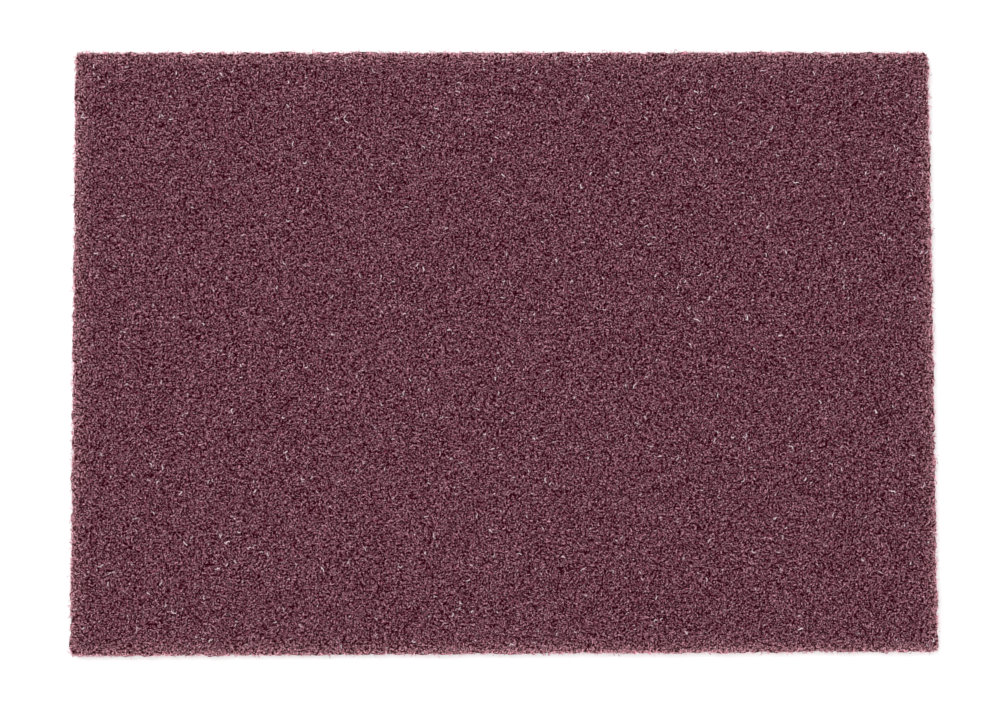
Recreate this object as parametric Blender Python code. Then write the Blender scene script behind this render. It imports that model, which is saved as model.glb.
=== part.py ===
"""Floor stripping pad: one rectangular sheet of lofty nonwoven web, cut square from a roll.

Metres, +Z up. The origin is the middle of the underside, which lies flat. X runs along the
pad's long side and Y along its short side.
"""

import math

import bmesh
import bpy
from mathutils import Vector, noise

# The sheet as it is sold
PAD_LENGTH = 0.508
PAD_WIDTH = 0.3556
PAD_THICKNESS = 0.0095
CORNER_RADIUS = 0.004

# The cut walls, where loose loops of fibre stray from the cutter's line
CUT_WANDER = 0.0012
CUT_WAVE = 0.0085
RIM_CRUSH = 0.0011

# The upper face, where the web stands in tufts with open pits between them
PIT_DEPTH = 0.0014
PIT_WAVE = 0.0115
SWELL_DEPTH = 0.0005
SWELL_WAVE = 0.085

# How finely the sheet is divided, so that its faces can follow the web
LATTICE_STEP = 0.0082
CORNER_STEPS = 3
WALL_LAYERS = 3

WEB_COLOUR = (0.147, 0.053, 0.077, 1.0)
WEB_ROUGHNESS = 0.9


def clear_scene():
    for obj in list(bpy.data.objects):
        bpy.data.objects.remove(obj, do_unlink=True)


def cut_across(bm, axis, place):
    """Divides every face that the plane at this place on the axis passes through."""
    point = Vector((0.0, 0.0, 0.0))
    point[axis] = place
    normal = Vector((0.0, 0.0, 0.0))
    normal[axis] = 1.0
    everything = bm.verts[:] + bm.edges[:] + bm.faces[:]
    bmesh.ops.bisect_plane(bm, geom=everything, dist=1e-6, plane_co=point, plane_no=normal)


def lattice_places(side):
    """Places of the cuts along one side: even steps between the two rims."""
    inner = side - 2 * CORNER_RADIUS
    steps = max(2, round(inner / LATTICE_STEP))
    return [-inner / 2 + inner * i / steps for i in range(steps + 1)]


def block_sheet():
    """A plain slab on the ground plane, with rounded corners and its faces cut to a lattice."""
    bm = bmesh.new()
    bmesh.ops.create_cube(bm, size=1.0)
    bmesh.ops.scale(bm, vec=(PAD_LENGTH, PAD_WIDTH, PAD_THICKNESS), verts=bm.verts)
    bmesh.ops.translate(bm, vec=(0.0, 0.0, PAD_THICKNESS / 2), verts=bm.verts)
    upright = [e for e in bm.edges if abs(e.verts[0].co.z - e.verts[1].co.z) > PAD_THICKNESS / 2]
    bmesh.ops.bevel(bm, geom=upright, offset=CORNER_RADIUS, offset_type="OFFSET",
                    affect="EDGES", segments=CORNER_STEPS, profile=0.5, material=-1)
    for place in lattice_places(PAD_LENGTH):
        cut_across(bm, 0, place)
    for place in lattice_places(PAD_WIDTH):
        cut_across(bm, 1, place)
    for layer in range(1, WALL_LAYERS):
        cut_across(bm, 2, PAD_THICKNESS * layer / WALL_LAYERS)
    bm.normal_update()
    return bm


def ragged(place, wave):
    """A smooth wander from 0 to 1 that changes over about one wave."""
    return 0.5 + 0.5 * max(-1.0, min(1.0, 1.6 * noise.noise(place / wave)))


def fray_walls(bm):
    """Draws the cut walls back from the cutter's line, unevenly, and returns the wall's points."""
    wall = {v for f in bm.faces if abs(f.normal.z) < 0.5 for v in f.verts}
    moves = []
    for vert in wall:
        outward = Vector((vert.normal.x, vert.normal.y, 0.0)).normalized()
        moves.append((vert, -outward * CUT_WANDER * ragged(vert.co, CUT_WAVE)))
    for vert, move in moves:
        vert.co += move
    return wall


def raise_tufts(bm, wall):
    """Sinks pits and slow swells into the upper face, and the crushed rim along its edge."""
    top = [v for v in bm.verts if v.co.z > PAD_THICKNESS * (1 - 0.5 / WALL_LAYERS)]
    for vert in top:
        sink = PIT_DEPTH * ragged(vert.co, PIT_WAVE) + SWELL_DEPTH * ragged(vert.co, SWELL_WAVE)
        if vert in wall:
            sink += RIM_CRUSH
        vert.co.z -= sink


def web_material():
    material = bpy.data.materials.new("abrasive_web")
    material.use_nodes = True
    shader = material.node_tree.nodes["Principled BSDF"]
    shader.inputs["Base Color"].default_value = WEB_COLOUR
    shader.inputs["Roughness"].default_value = WEB_ROUGHNESS
    shader.inputs["Metallic"].default_value = 0.0
    material.diffuse_color = WEB_COLOUR
    return material


def stripping_pad(collection):
    """The whole pad: one bonded sheet of fibre, the same on both faces."""
    bm = block_sheet()
    wall = fray_walls(bm)
    raise_tufts(bm, wall)
    mesh = bpy.data.meshes.new("stripping_pad")
    bm.to_mesh(mesh)
    bm.free()
    mesh.shade_smooth()
    mesh.set_sharp_from_angle(angle=math.radians(50))
    mesh.materials.append(web_material())
    pad = bpy.data.objects.new("stripping_pad", mesh)
    collection.objects.link(pad)
    return pad


clear_scene()
floor_stripping_pad = bpy.data.collections.new("floor_stripping_pad")
bpy.context.scene.collection.children.link(floor_stripping_pad)
stripping_pad(floor_stripping_pad)
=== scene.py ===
"""Looks of the floor stripping pad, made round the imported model. Metres, +Z up.

The real pad is one sheet of lofty nonwoven web. Here the sheet is shown as its dense heart and,
standing out of it on both faces and round the cut edge, the crimped fibres themselves.
"""

import math
import random

import bmesh
import bpy
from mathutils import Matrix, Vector, noise


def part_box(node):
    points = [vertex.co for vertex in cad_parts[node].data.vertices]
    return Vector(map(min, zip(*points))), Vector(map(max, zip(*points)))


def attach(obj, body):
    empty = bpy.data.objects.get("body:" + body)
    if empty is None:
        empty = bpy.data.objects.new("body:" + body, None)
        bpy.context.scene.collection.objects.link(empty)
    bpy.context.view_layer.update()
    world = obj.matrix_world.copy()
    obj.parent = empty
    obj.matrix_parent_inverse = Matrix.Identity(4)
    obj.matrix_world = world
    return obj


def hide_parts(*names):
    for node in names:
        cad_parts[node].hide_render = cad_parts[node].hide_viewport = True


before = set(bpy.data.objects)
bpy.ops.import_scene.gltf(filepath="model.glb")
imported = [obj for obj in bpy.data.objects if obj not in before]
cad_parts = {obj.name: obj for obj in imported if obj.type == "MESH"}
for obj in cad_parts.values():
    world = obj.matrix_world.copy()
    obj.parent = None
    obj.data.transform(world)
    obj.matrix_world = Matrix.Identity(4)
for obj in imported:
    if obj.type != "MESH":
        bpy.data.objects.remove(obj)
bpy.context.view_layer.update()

sheet_low, sheet_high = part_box("stripping_pad")


# The heart of the web: where the fibres lie too deep to be told apart, so that only a dark tangle
# shows between those above. It is a lumpy slab, set back from the faces and the edge, and its
# finish draws the deeper fibres as layers of curly ridges, with painted shade in the gaps between
# them.

CORNER_RADIUS = 0.004
EDGE_SETBACK = 0.0004
TOP_SETBACK = 0.0021
UNDER_SETBACK = 0.0012
HEART_CELL = 0.0027
HEART_LAYERS = 4
HEART_SEED = 5
SHARP_ANGLE = math.radians(50)

# Its wall wanders in slow waves, with a little chance at each point. The cutter crushed the
# upper rim, and the foot of the wall is pressed down towards the floor.
WALL_RAG = 0.0017
WALL_RAG_SIZE = (0.0042, 0.0042, 0.0200)
RAG_BY_WAVES = 0.8
RAG_BY_CHANCE = 0.3
RIM_CRUSH = 0.0007
FOOT_DROP = 0.0005

# The low tufts on its two faces
TUFT_HEIGHT = 0.00032
TUFT_SIZE = 0.0052
TUFT_STRENGTH = 1.6
UNDER_TUFT_HEIGHT = 0.0004
UNDER_FACE = 7.0

# Resin from painted shade in the pits, through pale resin that is partly a painted highlight, to
# the painted light along the cut edge; and the mineral grain in it, whose colour also paints
# glints
PAINTED_PIT_SHADE = (0.046, 0.0000, 0.0056, 1.0)
RESIN_COLOUR = (0.250, 0.048, 0.092, 1.0)
PALE_RESIN_AND_HIGHLIGHT = (1.00, 0.51, 0.65, 1.0)
GRAIN_AND_GLINT_COLOUR = (1.00, 0.64, 0.76, 1.0)
PAINTED_EDGE_LIGHT = (0.56, 0.32, 0.33, 1.0)
EDGE_LIGHT_IN_PITS = 0.38
EDGE_LIGHT_ON_FIBRES = 1.05
EDGE_FADE = 0.0034
TIP_FADE = 0.0010

# The deeper fibres: how wide the gaps between them are, which take painted shade, and how their
# layers curl
GAP_SIZE = 0.00108
GAP_RANGE = (0.38, 0.60)
CURL_SIZES = (0.00135, 0.00125)
CURL_WIDTH = 0.045
LAYER_SHIFTS = ((0.3, 0.7, 0.5), (0.9, 0.2, 0.1))
HEART_CONTRAST = 1.05
HEART_SHADE = 0.70
RIDGE_HEIGHT = 0.0006
# Specks on the deeper fibres: partly mineral grain, partly painted glint
GLINT_SPECK_SIZE = 0.0009
GLINT_SPECK_RANGE = (0.70, 0.74)
GLINT_SPECK_SHARE = 0.7


class Signal:
    """A number that changes over a surface. Sums on it add Math nodes to its tree."""

    def __init__(self, nodes, socket):
        self.nodes = nodes
        self.socket = socket

    def sum(self, operation, *values):
        return self.nodes.node("ShaderNodeMath", {"operation": operation}, dict(enumerate(values)))

    def __add__(self, other):
        return self.sum("ADD", self, other)

    __radd__ = __add__

    def __mul__(self, other):
        return self.sum("MULTIPLY", self, other)

    __rmul__ = __mul__

    def __sub__(self, other):
        return self.sum("SUBTRACT", self, other)

    def __rsub__(self, other):
        return self.sum("SUBTRACT", other, self)

    def __abs__(self):
        return self.sum("ABSOLUTE", self)

    def larger(self, other):
        return self.sum("MAXIMUM", self, other)

    def smaller(self, other):
        return self.sum("MINIMUM", self, other)

    def exponent(self):
        return self.sum("EXPONENT", self)


class Nodes:
    """A node tree, and the one way that nodes are added to it."""

    def __init__(self, tree):
        self.tree = tree

    def node(self, kind, settings, inputs, output=0):
        made = self.tree.nodes.new(kind)
        for name, value in settings.items():
            setattr(made, name, value)
        for name, value in inputs.items():
            self.join(value, made.inputs[name])
        return Signal(self, made.outputs[output])

    def join(self, value, socket):
        if isinstance(value, Signal):
            self.tree.links.new(value.socket, socket)
        else:
            socket.default_value = value


class Finish(Nodes):
    """A material on one Principled shader, with the patterns that the pad's finishes share."""

    def __init__(self, name, **constants):
        self.material = bpy.data.materials.new(name)
        self.material.use_nodes = True
        super().__init__(self.material.node_tree)
        self.shader = self.tree.nodes["Principled BSDF"]
        for socket, value in constants.items():
            self.shader.inputs[socket.replace("_", " ")].default_value = value

    def shade(self, socket, value):
        self.join(value, self.shader.inputs[socket])

    def place(self):
        return self.node("ShaderNodeTexCoord", {}, {}, "Object")

    def moved(self, place, shift):
        """The place carried off to another part of the same pattern."""
        return self.node("ShaderNodeVectorMath", {"operation": "ADD"}, {0: place, 1: shift},
                         "Vector")

    def axis(self, place, name):
        return self.node("ShaderNodeSeparateXYZ", {}, {"Vector": place}, name)

    def noise(self, place, size, detail=0.0):
        """Soft clouds from 0 to 1, of blobs of this size in metres."""
        return self.node("ShaderNodeTexNoise", {"noise_dimensions": "3D"},
                         {"Vector": place, "Scale": 1 / size, "Detail": detail})

    def step(self, signal, low, high):
        """0 below low, 1 above high, and a soft rise between them. low may be the larger."""
        return self.node("ShaderNodeMapRange", {"interpolation_type": "SMOOTHSTEP"},
                         {"Value": signal, "From Min": low, "From Max": high})

    def strands(self, place, size, width):
        """Curly strands: 1 along the lines where soft clouds pass through their middle value."""
        return self.step(abs(self.noise(place, size) - 0.5), width, width * 0.1)

    def mix(self, amount, first, second, blend="MIX"):
        return self.node("ShaderNodeMix", {"data_type": "RGBA", "blend_type": blend},
                         {0: amount, 6: first, 7: second}, output=2)

    def bump(self, height, distance):
        return self.node("ShaderNodeBump", {}, {"Height": height, "Distance": distance})

    def outside(self, place):
        """How far a place lies outside the sheet's outline, and negative inside it."""
        x, y = self.axis(place, "X"), self.axis(place, "Y")
        return (abs(x) - sheet_high.x).larger(abs(y) - sheet_high.y)

    def web_tone(self, place, light):
        """Maroon from painted shade in the pits, where light is 0, through resin to pale resin
        that is partly a painted highlight, where it is 1. Painted light makes it paler at the
        outline. That fades inside it, and out along the tips."""
        # Where light is low, the tone is painted shade of the pits
        tone = self.mix(light * 2.0, PAINTED_PIT_SHADE, RESIN_COLOUR)
        # Above half light the tone goes to pale resin, which is partly a painted highlight
        tone = self.mix(light * 2.0 - 1.0, tone, PALE_RESIN_AND_HIGHLIGHT)
        # Painted light along the cut edge, added on top of the tone
        outside = self.outside(place)
        near = (outside * (1 / EDGE_FADE)).smaller(outside * (-1 / TIP_FADE)).exponent()
        return self.mix(near * (EDGE_LIGHT_IN_PITS + light * EDGE_LIGHT_ON_FIBRES), tone, PAINTED_EDGE_LIGHT, "ADD")


def heart_finish():
    finish = Finish("deep_web", Roughness=0.9, Specular_IOR_Level=0.0)
    place = finish.place()
    fibres = finish.step(finish.noise(place, GAP_SIZE), *GAP_RANGE)
    for size, shift in zip(CURL_SIZES, LAYER_SHIFTS):
        fibres = fibres + finish.strands(finish.moved(place, shift), size, CURL_WIDTH)
    # Specks of grain colour, partly mineral grain and partly painted glint
    glint_specks = finish.step(finish.noise(place, GLINT_SPECK_SIZE), *GLINT_SPECK_RANGE)
    # The gaps between the deeper fibres take painted pit shade, and the curly ridges the resin
    tone = finish.web_tone(place, fibres * HEART_CONTRAST - HEART_SHADE)
    finish.shade("Base Color", finish.mix(glint_specks * GLINT_SPECK_SHARE, tone, GRAIN_AND_GLINT_COLOUR))
    finish.shade("Normal", finish.bump(fibres, RIDGE_HEIGHT))
    return finish.material


def outside_by(x, y):
    """How far a place lies outside the sheet's outline, or inside it where negative."""
    over_x = abs(x) - (sheet_high.x - CORNER_RADIUS)
    over_y = abs(y) - (sheet_high.y - CORNER_RADIUS)
    corner = math.hypot(max(over_x, 0.0), max(over_y, 0.0))
    return corner + min(max(over_x, over_y), 0.0) - CORNER_RADIUS


def relief(x, y, face=0.0):
    """How the web stands in tufts, from about -1 in a hollow to 1 on a tuft."""
    return TUFT_STRENGTH * noise.noise(Vector((x / TUFT_SIZE, y / TUFT_SIZE, face)))


def cut_along(bm, axis, cuts):
    """Divides every edge that runs along the axis into equal parts."""
    along = [e for e in bm.edges
             if abs((e.verts[1].co - e.verts[0].co).normalized()[axis]) > 0.99]
    bmesh.ops.subdivide_edges(bm, edges=along, cuts=cuts, use_grid_fill=True)


def fray_wall(vert, draw):
    """Moves a point of the heart's wall in or out, and rounds the slab's corners off."""
    place = Vector(along / wave for along, wave in zip(vert.co, WALL_RAG_SIZE))
    rag = RAG_BY_WAVES * noise.noise(place) + draw.uniform(-RAG_BY_CHANCE, RAG_BY_CHANCE)
    outward = Vector((vert.normal.x, vert.normal.y, 0.0)).normalized()
    corner = max(0.0, outside_by(vert.co.x, vert.co.y) + EDGE_SETBACK)
    vert.co += outward * (WALL_RAG * rag - corner)


def heart_mesh():
    inset = Vector((EDGE_SETBACK, EDGE_SETBACK, 0.0))
    low = sheet_low + inset + Vector((0.0, 0.0, UNDER_SETBACK))
    high = sheet_high - inset - Vector((0.0, 0.0, TOP_SETBACK))
    size = high - low
    bm = bmesh.new()
    bmesh.ops.create_cube(bm, size=1.0)
    bmesh.ops.scale(bm, vec=size, verts=bm.verts)
    bmesh.ops.translate(bm, vec=(low + high) / 2, verts=bm.verts)
    for axis, parts in enumerate((size.x / HEART_CELL, size.y / HEART_CELL, HEART_LAYERS)):
        cut_along(bm, axis, round(parts) - 1)
    bm.normal_update()
    wall = {v for f in bm.faces if abs(f.normal.z) < 0.5 for v in f.verts}
    draw = random.Random(HEART_SEED)
    edge_band = size.z / HEART_LAYERS / 2
    for vert in bm.verts:
        upper = vert.co.z > high.z - edge_band
        lower = vert.co.z < low.z + edge_band
        if vert in wall:
            fray_wall(vert, draw)
            vert.co.z -= RIM_CRUSH * upper + FOOT_DROP * lower
        elif upper:
            vert.co.z += TUFT_HEIGHT * relief(vert.co.x, vert.co.y)
        else:
            vert.co.z -= UNDER_TUFT_HEIGHT * relief(vert.co.x, vert.co.y, UNDER_FACE)
    mesh = bpy.data.meshes.new("web_heart")
    bm.to_mesh(mesh)
    bm.free()
    mesh.shade_smooth()
    mesh.set_sharp_from_angle(angle=SHARP_ANGLE)
    return mesh


web_heart = bpy.data.objects.new("web_heart", heart_mesh())
bpy.context.collection.objects.link(web_heart)
web_heart.data.materials.append(heart_finish())
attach(web_heart, "root")
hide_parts("stripping_pad")


# The fibres of the upper face: crimped synthetic staple, laid at random and coated with maroon
# resin and mineral grain. Each waves up and down as it runs, so what shows of it is a row of
# short arches that rise out of the heart and dip back in: each arch here is a thin bent rod.

FIBRE_RADIUS = 0.00022
FIBRE_SIDES = 3
FIBRE_REST = FIBRE_RADIUS * 1.4
FIBRE_STEP = (0.00045, 0.00080)
FIBRE_THICKNESS = (0.75, 1.2)
RESIN_LUMPS = (0.88, 1.12)
CRIMP_LENGTH = (0.0025, 0.0052)
CRIMP_SWING = (0.5, 1.3)
OVERHANG = 0.0006
OVERHANG_SPREAD = 0.0008

# The arches, spread evenly over the face by two steps that never fall into rows
FACE_ARCHES = 6900
FACE_SEED = 11
ARCH_STEPS = 4
ARCH_RISE = (0.0010, 0.0021)
ARCH_SINK = 0.0006
ARCH_SINK_BIAS = 1.5
CREST_FOLLOWS_TUFTS = 0.6
EVEN_SPREAD = (0.7548776662, 0.5698402910)
SPREAD_SHAKE = 0.0006

# Their colour: how much each cause adds to the light value of the tone, and the depths and
# patterns that it follows. Depth gives painted shade down in the web and painted light near the
# faces and the edge; streaks are tone that differs at random; drops are grain and painted glints.
BASE_LIGHT = -0.24
PAINTED_DEPTH_LIGHT = 0.50
DARK_DEPTH = 0.0030
LIT_DEPTH = 0.0005
STREAK_LIGHT = 0.80
STREAK_SIZE = 0.0012
STREAK_RANGE = (0.38, 0.60)
GLINT_DROP_SIZE = 0.0014
GLINT_DROP_RANGE = (0.64, 0.68)
GRAIN_SIZE = 0.0004
GRAIN_RANGE = (0.66, 0.80)
GRAIN_SHARE = 0.25
GRAIN_HEIGHT = 0.00012
GLINT_RANGE = (0.45, 0.75)
RESIN_ROUGHNESS = 0.75
GLINT_SMOOTHER = 0.35


def crest(x, y):
    """Height that the highest fibres reach on the upper face."""
    hollow = TUFT_HEIGHT * (1 - relief(x, y))
    return sheet_high.z - FIBRE_RADIUS - CREST_FOLLOWS_TUFTS * hollow


def any_way(draw):
    return draw.uniform(0, math.tau)


def crimped_run(draw, heading, steps):
    """One fibre's way over a flat sheet, as steps from its start, each with the share of its
    length that has run."""
    swing = draw.uniform(*CRIMP_SWING)
    crimp = draw.uniform(*CRIMP_LENGTH)
    start = any_way(draw)
    step = draw.uniform(*FIBRE_STEP)
    x = y = 0.0
    run = []
    for i in range(steps + 1):
        run.append((x, y, i / steps))
        way = heading + swing * math.sin(math.tau * i * step / crimp + start)
        x += step * math.cos(way)
        y += step * math.sin(way)
    return run


def crimped_fibre(draw, x, y, heading, steps, level):
    """Points of one fibre from this place, with level(x, y, share) giving its height. It stops
    where the cutter went through it."""
    limit = draw.gauss(OVERHANG, OVERHANG_SPREAD)
    points = []
    for across, along, share in crimped_run(draw, heading, steps):
        if outside_by(x + across, y + along) > limit:
            break
        points.append((x + across, y + along, level(x + across, y + along, share)))
    return points


def arch(share):
    """Depth below the top of an arch, from 1 where it leaves the heart to 0 halfway along."""
    return 1 - math.sin(math.pi * share)


def rod_section():
    """The three-sided section that is swept along every fibre."""
    section = bpy.data.curves.new("fibre_section", "CURVE")
    section.dimensions = "2D"
    ring = section.splines.new("POLY")
    ring.points.add(FIBRE_SIDES - 1)
    for i, point in enumerate(ring.points):
        turn = math.tau * i / FIBRE_SIDES
        point.co = (FIBRE_RADIUS * math.cos(turn), FIBRE_RADIUS * math.sin(turn), 0.0, 1.0)
    ring.use_cyclic_u = True
    return bpy.data.objects.new("fibre_section", section)


def fibre_curve(name, fibres, draw, stout):
    """The middle lines of the fibres, each of its own thickness and lumpy with resin."""
    curve = bpy.data.curves.new(name, "CURVE")
    curve.dimensions = "3D"
    for points in fibres:
        if len(points) < 3:
            continue
        thickness = stout * draw.uniform(*FIBRE_THICKNESS)
        spline = curve.splines.new("POLY")
        spline.points.add(len(points) - 1)
        for point, place in zip(spline.points, points):
            point.co = (*place, 1.0)
            point.radius = thickness * draw.uniform(*RESIN_LUMPS)
    return curve


def lay_flat(bm):
    """Gives the rods a map on which each point lies where it does seen from above."""
    flat = bm.loops.layers.uv.new("OFBake")
    low_x, high_x = min(v.co.x for v in bm.verts), max(v.co.x for v in bm.verts)
    low_y, high_y = min(v.co.y for v in bm.verts), max(v.co.y for v in bm.verts)
    for face in bm.faces:
        for loop in face.loops:
            place = loop.vert.co
            loop[flat].uv = ((place.x - low_x) / (high_x - low_x),
                             (place.y - low_y) / (high_y - low_y))


def swept(name, fibres, draw, finish, stout=1.0):
    """Sweeps the section along every fibre and makes the bundle one piece of closed rods."""
    curve = fibre_curve(name, fibres, draw, stout)
    section = rod_section()
    curve.bevel_mode = "OBJECT"
    curve.bevel_object = section
    curve.use_fill_caps = True
    bundle = bpy.data.objects.new(name + "_curve", curve)
    bpy.context.collection.objects.link(bundle)
    bpy.context.collection.objects.link(section)
    graph = bpy.context.evaluated_depsgraph_get()
    mesh = bpy.data.meshes.new_from_object(bundle.evaluated_get(graph))
    mesh.name = name
    bpy.data.objects.remove(bundle)
    bpy.data.objects.remove(section)
    bm = bmesh.new()
    bm.from_mesh(mesh)
    bmesh.ops.remove_doubles(bm, verts=bm.verts, dist=1e-6)
    bmesh.ops.recalc_face_normals(bm, faces=bm.faces)
    lay_flat(bm)
    bm.to_mesh(mesh)
    bm.free()
    mesh.shade_smooth()
    mesh.materials.clear()
    mesh.materials.append(finish)
    rods = bpy.data.objects.new(name, mesh)
    bpy.context.collection.objects.link(rods)
    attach(rods, "root")


def fibre_finish():
    """Resin and grain on the fibres, with painted shade down in the web, painted glints, and
    painted light near the cut edge.
    """
    finish = Finish("resin_grain_and_painted_light", Specular_IOR_Level=0.2)
    place = finish.place()
    half = (sheet_high.z - sheet_low.z) / 2
    # Painted shade by depth: lit near either face and at the outline, dark deep in the web
    height = abs(finish.axis(place, "Z") - half)
    shallow = height.larger(finish.outside(place) + half)
    painted_depth_light = finish.step(shallow, half - DARK_DEPTH, half - LIT_DEPTH)
    streaks = finish.step(finish.noise(place, STREAK_SIZE, detail=0.5), *STREAK_RANGE)
    glint_drops = finish.step(finish.noise(place, GLINT_DROP_SIZE, detail=0.5), *GLINT_DROP_RANGE)
    grain = finish.noise(place, GRAIN_SIZE, detail=1.0)
    tone = finish.web_tone(place, painted_depth_light * PAINTED_DEPTH_LIGHT + streaks * STREAK_LIGHT + BASE_LIGHT)
    # Drops of grain colour: partly mineral grain, partly painted glints
    tone = finish.mix(glint_drops, tone, GRAIN_AND_GLINT_COLOUR)
    tone = finish.mix(finish.step(grain, *GRAIN_RANGE) * GRAIN_SHARE, tone, GRAIN_AND_GLINT_COLOUR)
    glints = finish.step(grain, *GLINT_RANGE)
    finish.shade("Base Color", tone)
    finish.shade("Roughness", RESIN_ROUGHNESS - GLINT_SMOOTHER * glints)
    finish.shade("Normal", finish.bump(grain, GRAIN_HEIGHT))
    return finish.material


def arches(draw, count, left, right, top, lift):
    """Rods that rise from the heart and dip back, between left and right. top(x, y) is the
    level of the highest, and lift is 1 where they rise upwards and -1 on the underside."""
    made = []
    for i in range(count):
        x = left + (right - left) * (i * EVEN_SPREAD[0] % 1) + draw.gauss(0, SPREAD_SHAKE)
        y = sheet_low.y + (sheet_high.y - sheet_low.y) * (i * EVEN_SPREAD[1] % 1)
        y += draw.gauss(0, SPREAD_SHAKE)
        sink = ARCH_SINK * draw.random() ** ARCH_SINK_BIAS
        rise = draw.uniform(*ARCH_RISE)

        def level(x, y, share):
            return top(x, y) - lift * (sink + rise * arch(share))

        made.append(crimped_fibre(draw, x, y, any_way(draw), ARCH_STEPS, level))
    return made


resin = fibre_finish()
face_names = ("face_fibres_left", "face_fibres_middle", "face_fibres_right")
band = (sheet_high.x - sheet_low.x) / len(face_names)
for index, name in enumerate(face_names):
    draw = random.Random(FACE_SEED + index)
    left = sheet_low.x + index * band
    swept(name, arches(draw, FACE_ARCHES, left, left + band, crest, 1), draw, resin)


# The fibres of the underside: the same web seen from the other face, where it lies on the
# floor, so that the lowest arches are pressed to one level.

UNDER_ARCHES = 3350
UNDER_SEED = 31


def under_level(x, y):
    return sheet_low.z + FIBRE_REST


for index, name in enumerate(("under_fibres_left", "under_fibres_right")):
    draw = random.Random(UNDER_SEED + index)
    left = sheet_low.x * (1 - index)
    right = left + sheet_high.x
    swept(name, arches(draw, UNDER_ARCHES, left, right, under_level, -1), draw, resin)


# The cut edge: loops of fibre along the whole wall, and the open ends that the cutter left.
# They stand a little past the cutter's line, where their finish makes them paler with painted
# light.

EDGE_SEED = 47
EDGE_STOUT = 0.85
WALL_ARCHES = 2300
WALL_RISE = (0.0008, 0.0016)
WALL_SUNK = -0.0006
WALL_STAND = 0.0003
WALL_FOOT_MARGIN = 0.0006
WALL_RIM_MARGIN = 0.0010
CUT_ENDS = 3300
CUT_END_STEPS = 6
CUT_END_BAND = (0.0012, 0.0028)
CUT_END_FAN = 1.15
CUT_END_TILT = 0.0012
CUT_END_CRUSH = 0.0003


def edge_place(draw, inward):
    """A place this far inside the outline, the way along it and the way out."""
    half_x, half_y = sheet_high.x - inward, sheet_high.y - inward
    along = draw.uniform(0, 4 * (half_x + half_y))
    side = -1 if along < 2 * (half_x + half_y) else 1
    along %= 2 * (half_x + half_y)
    if along < 2 * half_x:
        place = Vector((along - half_x, side * half_y, 0.0))
        return place, Vector((1, 0, 0)), Vector((0, side, 0))
    place = Vector((side * half_x, along - 2 * half_x - half_y, 0.0))
    return place, Vector((0, 1, 0)), Vector((side, 0, 0))


def wall_arch(draw):
    """A loop that stands out of the wall and goes back in, at any slant on it."""
    place, along, outward = edge_place(draw, 0.0)
    place.z = draw.uniform(sheet_low.z + WALL_FOOT_MARGIN, sheet_high.z - WALL_RIM_MARGIN)
    rise = draw.uniform(*WALL_RISE)
    stand = draw.uniform(WALL_SUNK, WALL_STAND)
    points = []
    for across, upward, share in crimped_run(draw, any_way(draw), ARCH_STEPS):
        point = place + along * across + outward * (stand - rise * arch(share))
        point.z += upward
        point -= outward * max(0.0, outside_by(point.x, point.y) - WALL_STAND)
        if not sheet_low.z + FIBRE_REST < point.z < crest(point.x, point.y):
            break
        points.append(point)
    return points


def cut_end(draw):
    """A fibre that runs out through the wall and stops where it was cut."""
    place, along, outward = edge_place(draw, draw.uniform(*CUT_END_BAND))
    deep = draw.random()
    tilt = draw.uniform(-CUT_END_TILT, CUT_END_TILT)

    def level(x, y, share):
        lowest = sheet_low.z + FIBRE_REST
        highest = crest(x, y) - CUT_END_CRUSH
        return max(lowest, min(highest, lowest + (highest - lowest) * deep + tilt * share))

    heading = math.atan2(outward.y, outward.x) + draw.uniform(-CUT_END_FAN, CUT_END_FAN)
    return crimped_fibre(draw, place.x, place.y, heading, CUT_END_STEPS, level)


draw = random.Random(EDGE_SEED)
fibres = [wall_arch(draw) for _ in range(WALL_ARCHES)]
fibres += [cut_end(draw) for _ in range(CUT_ENDS)]
swept("edge_fibres", fibres, draw, resin, EDGE_STOUT)


# Stray fibres: short stout ends that broke loose from the web and lie on its upper face. Bare
# fibre shows on them, pale and slightly glossy, where the resin came off, and its near-white
# colour also serves as painted glints.

STRAY_SEED = 53
STRAY_FIBRES = 900
STRAY_STEPS = (2, 5)
STRAY_LIFT = (-0.0002, 0.0004)
STRAY_RISE = 0.0005
STRAY_STOUT = 1.6
BARE_AND_GLINT_COLOUR = (1.00, 0.78, 0.87, 1.0)
BARE_AND_GLINT_SIZE = 0.003
BARE_AND_GLINT_RANGE = (0.40, 0.50)
GLOSSY_RANGE = (0.40, 0.60)
STRAY_ROUGHNESS = 0.55
BARE_SMOOTHER = 0.25


def stray_finish():
    finish = Finish("bare_fibre_and_painted_glints", Specular_IOR_Level=0.6)
    bare_and_glint = finish.noise(finish.place(), BARE_AND_GLINT_SIZE, detail=1.0)
    glossy = finish.step(bare_and_glint, *GLOSSY_RANGE)
    # The near-white patches are partly bare fibre and partly painted glints
    tone = finish.mix(finish.step(bare_and_glint, *BARE_AND_GLINT_RANGE), RESIN_COLOUR, BARE_AND_GLINT_COLOUR)
    finish.shade("Base Color", tone)
    finish.shade("Roughness", STRAY_ROUGHNESS - BARE_SMOOTHER * glossy)
    return finish.material


def stray_fibre(draw):
    x = draw.uniform(sheet_low.x, sheet_high.x)
    y = draw.uniform(sheet_low.y, sheet_high.y)
    lift = draw.uniform(*STRAY_LIFT)

    def level(x, y, share):
        return crest(x, y) + lift - STRAY_RISE * arch(share) - FIBRE_RADIUS

    return crimped_fibre(draw, x, y, any_way(draw), draw.randint(*STRAY_STEPS), level)


draw = random.Random(STRAY_SEED)
strays = [stray_fibre(draw) for _ in range(STRAY_FIBRES)]
swept("stray_fibres", strays, draw, stray_finish(), STRAY_STOUT)


# The floor, the light and the camera, which looks straight down as the photograph does. Seen
# from low down, the sky is as bright as the floor, so that no hard horizon shows.

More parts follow.
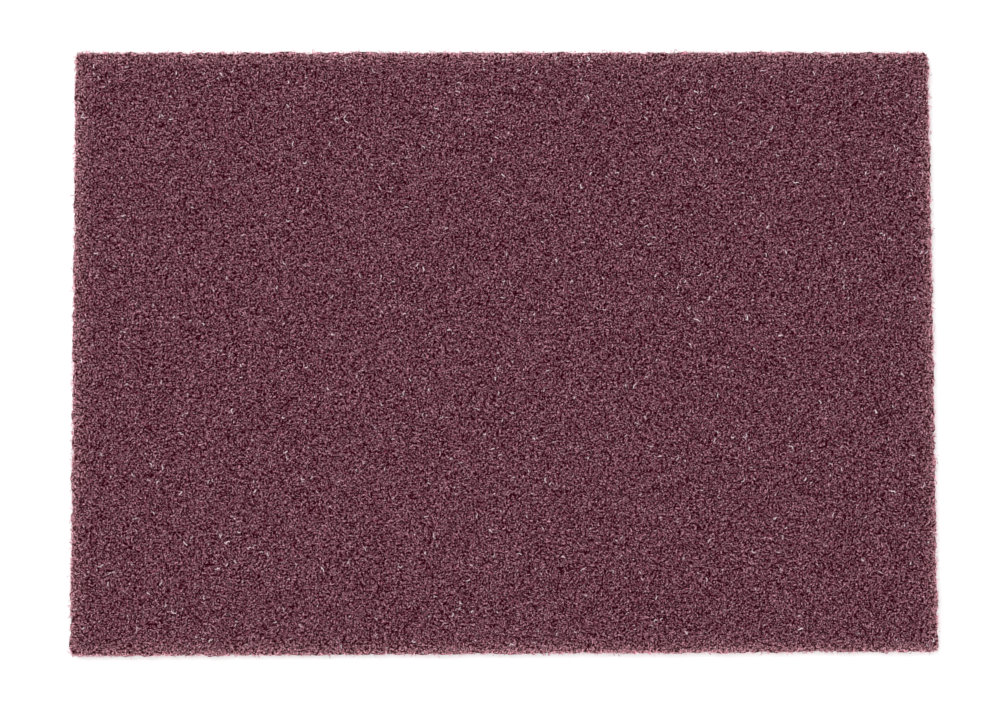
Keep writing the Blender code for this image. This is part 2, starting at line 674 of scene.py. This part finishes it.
FLOOR_SIZE = 12.0
FLOOR_WHITE = 0.86
FLOOR_GLOW = 0.36
SKY_LIGHT = 0.55
SKY_SEEN = FLOOR_WHITE * SKY_LIGHT + FLOOR_GLOW
CAMERA_LENS = 70.0
CAMERA_SENSOR = 36.0
CAMERA_PLACE = (-0.0232, -0.0661, 1.1421)
CAMERA_TURN = (3.31, -1.01, -0.20)
WHITE = (1.0, 1.0, 1.0, 1.0)

bm = bmesh.new()
bmesh.ops.create_grid(bm, x_segments=2, y_segments=2, size=FLOOR_SIZE / 2)
floor_mesh = bpy.data.meshes.new("floor")
bm.to_mesh(floor_mesh)
bm.free()
floor = bpy.data.objects.new("floor", floor_mesh)
bpy.context.collection.objects.link(floor)

paint = Finish("white_floor", Roughness=0.9, Emission_Color=WHITE,
               Base_Color=(FLOOR_WHITE, FLOOR_WHITE, FLOOR_WHITE, 1.0))
seen = 0.0
for ray in ("Is Camera Ray", "Is Glossy Ray", "Is Transmission Ray"):
    seen = paint.node("ShaderNodeLightPath", {}, {}, ray).larger(seen)
paint.shade("Emission Strength", seen * FLOOR_GLOW)
floor_mesh.materials.append(paint.material)

world = bpy.data.worlds.new("studio")
bpy.context.scene.world = world
world.use_nodes = True
sky = Nodes(world.node_tree)
background = sky.tree.nodes["Background"]
background.inputs["Color"].default_value = WHITE
seen = sky.node("ShaderNodeLightPath", {}, {}, "Is Camera Ray")
sky.join(SKY_LIGHT + seen * (SKY_SEEN - SKY_LIGHT), background.inputs["Strength"])


def soft_light(name, place, size, power):
    """A square lamp at this place, turned towards the middle of the pad."""
    lamp = bpy.data.lights.new(name, "AREA")
    lamp.shape = "SQUARE"
    lamp.size = size
    lamp.energy = power
    holder = bpy.data.objects.new(name, lamp)
    holder.location = place
    holder.rotation_euler = (-Vector(place)).to_track_quat("-Z", "Y").to_euler()
    bpy.context.collection.objects.link(holder)


soft_light("key_light", place=(-0.6, 0.5, 1.5), size=0.8, power=11.0)
soft_light("fill_light", place=(0.9, -0.6, 1.4), size=1.0, power=5.0)

camera = bpy.data.cameras.new("camera")
camera.lens = CAMERA_LENS
camera.sensor_width = CAMERA_SENSOR
camera_holder = bpy.data.objects.new("camera", camera)
camera_holder.location = Vector(CAMERA_PLACE) + Vector((0.0, 0.0, sheet_high.z))
camera_holder.rotation_euler = [math.radians(turn) for turn in CAMERA_TURN]
bpy.context.collection.objects.link(camera_holder)
bpy.context.scene.camera = camera_holder
bpy.context.scene.view_settings.view_transform = "Standard"
